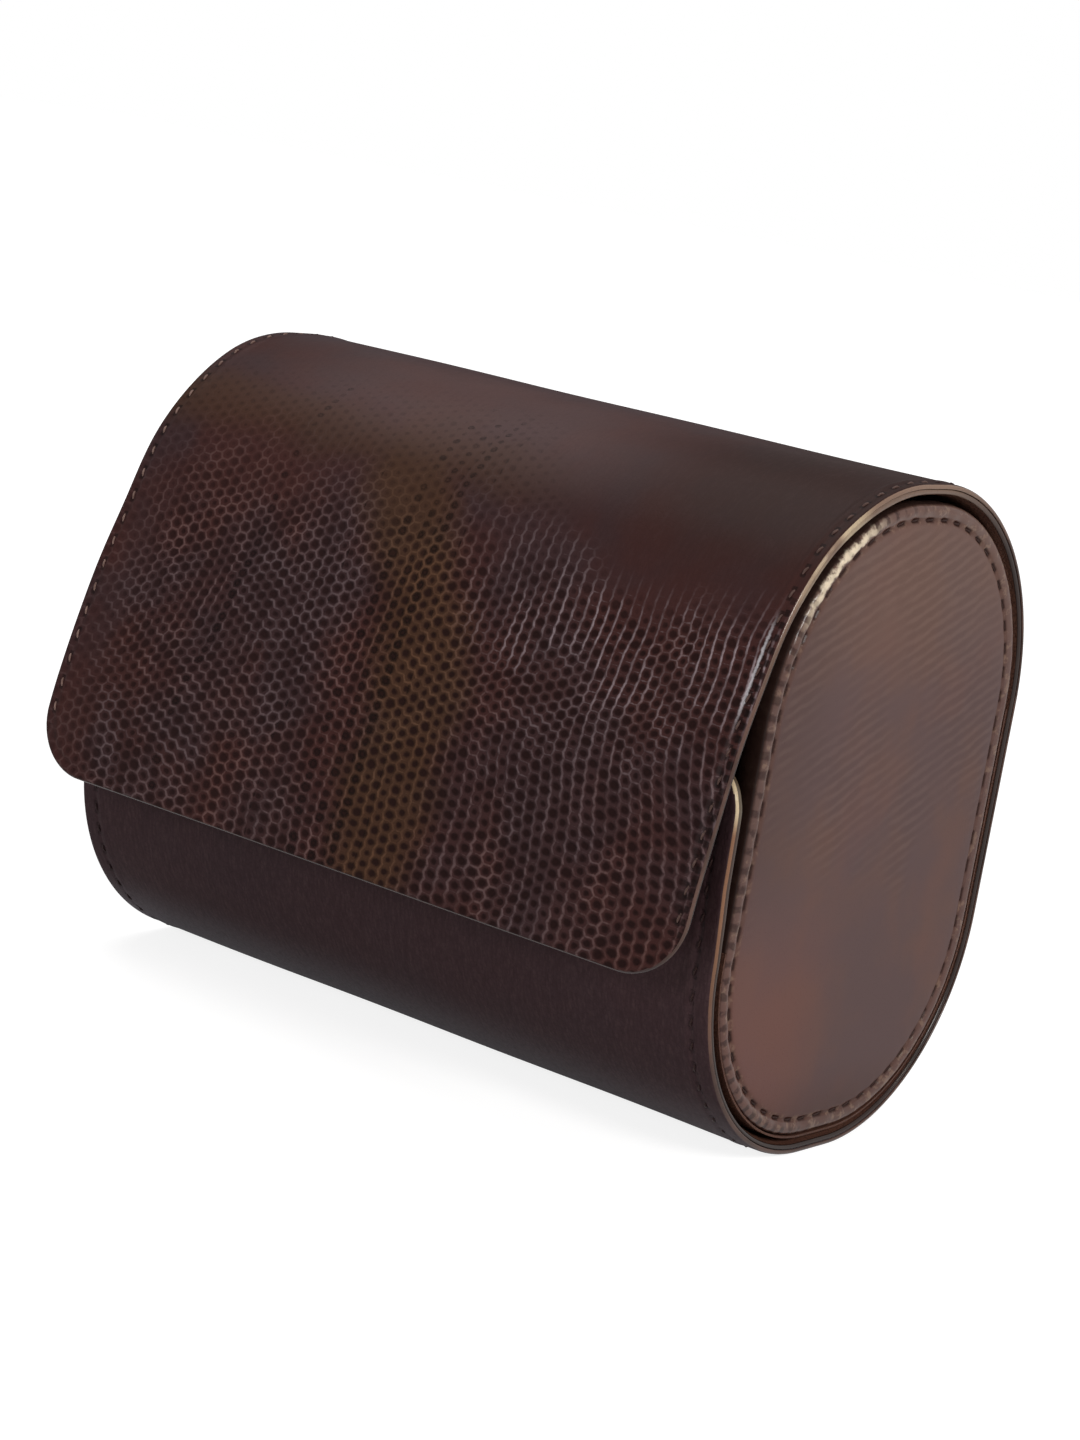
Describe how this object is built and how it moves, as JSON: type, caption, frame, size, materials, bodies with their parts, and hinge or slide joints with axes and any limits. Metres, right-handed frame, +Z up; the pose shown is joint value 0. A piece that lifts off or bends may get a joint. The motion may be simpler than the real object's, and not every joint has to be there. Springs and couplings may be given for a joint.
{
  "type": "watch travel case",
  "caption": "Oval leather travel case for wristwatches, with a folding lid and front flap, press studs and a sliding tray of padded watch cushions.",
  "frame": {"origin": "centre of the narrow flat under the case that it stands on", "axes": "+X along the case, from its left end to its right end; -Y is the front with the flap; +Z is up"},
  "size_m": [0.116, 0.079, 0.095],
  "materials": {
    "lizard_leather": "lizard-grain embossed, waxed semi-gloss",
    "end_leather": "fine grain, semi-gloss, stitched border",
    "lining_leather": "smooth matt lining leather with a painted tan edge",
    "suede": "brushed microsuede",
    "cushion_suede": "brushed microsuede, padded",
    "greyboard": "raw pressed board",
    "foam": "open-cell foam filling",
    "stud_metal": "antique brass, satin"
  },
  "bodies": {
    "case": {"case_leather": "lizard_leather", "case_board": "greyboard", "case_lining": "lining_leather", "press_studs": "stud_metal", "stud_backs": "stud_metal"},
    "lid": {"lid_leather": "lizard_leather", "lid_board": "greyboard", "lid_lining": "lining_leather"},
    "flap": {"flap_leather": "lizard_leather", "flap_board": "greyboard", "flap_lining": "lining_leather", "snap_sockets": "stud_metal", "socket_backs": "stud_metal"},
    "tray": {"tray_skin": "lining_leather", "tray_board": "greyboard", "tray_lining": "suede", "divider_board": "greyboard", "left_divider_facing": "suede", "right_divider_facing": "suede", "left_end_cover": "end_leather", "left_end_board": "greyboard", "left_end_facing": "suede", "left_cushion_band": "cushion_suede", "left_cushion_core": "foam", "left_cushion_sides": "cushion_suede", "right_end_cover": "end_leather", "right_end_board": "greyboard", "right_end_facing": "suede", "right_cushion_band": "cushion_suede", "right_cushion_core": "foam", "right_cushion_sides": "cushion_suede"}
  },
  "joints": [
    {"name": "lid_fold", "type": "hinge", "parent": "case", "child": "lid", "pos_m": [0, 0.02692, 0.08343], "axis": [-1, 0, 0], "range_deg": [0, 115]},
    {"name": "flap_fold", "type": "hinge", "parent": "lid", "child": "flap", "pos_m": [0, -0.03379, 0.06934], "axis": [-1, 0, 0], "range_deg": [-8.2, 90]},
    {"name": "tray_slide", "type": "slide", "parent": "case", "child": "tray", "axis": [1, 0, 0], "range_m": [-0.1, 0.1]}
  ]
}
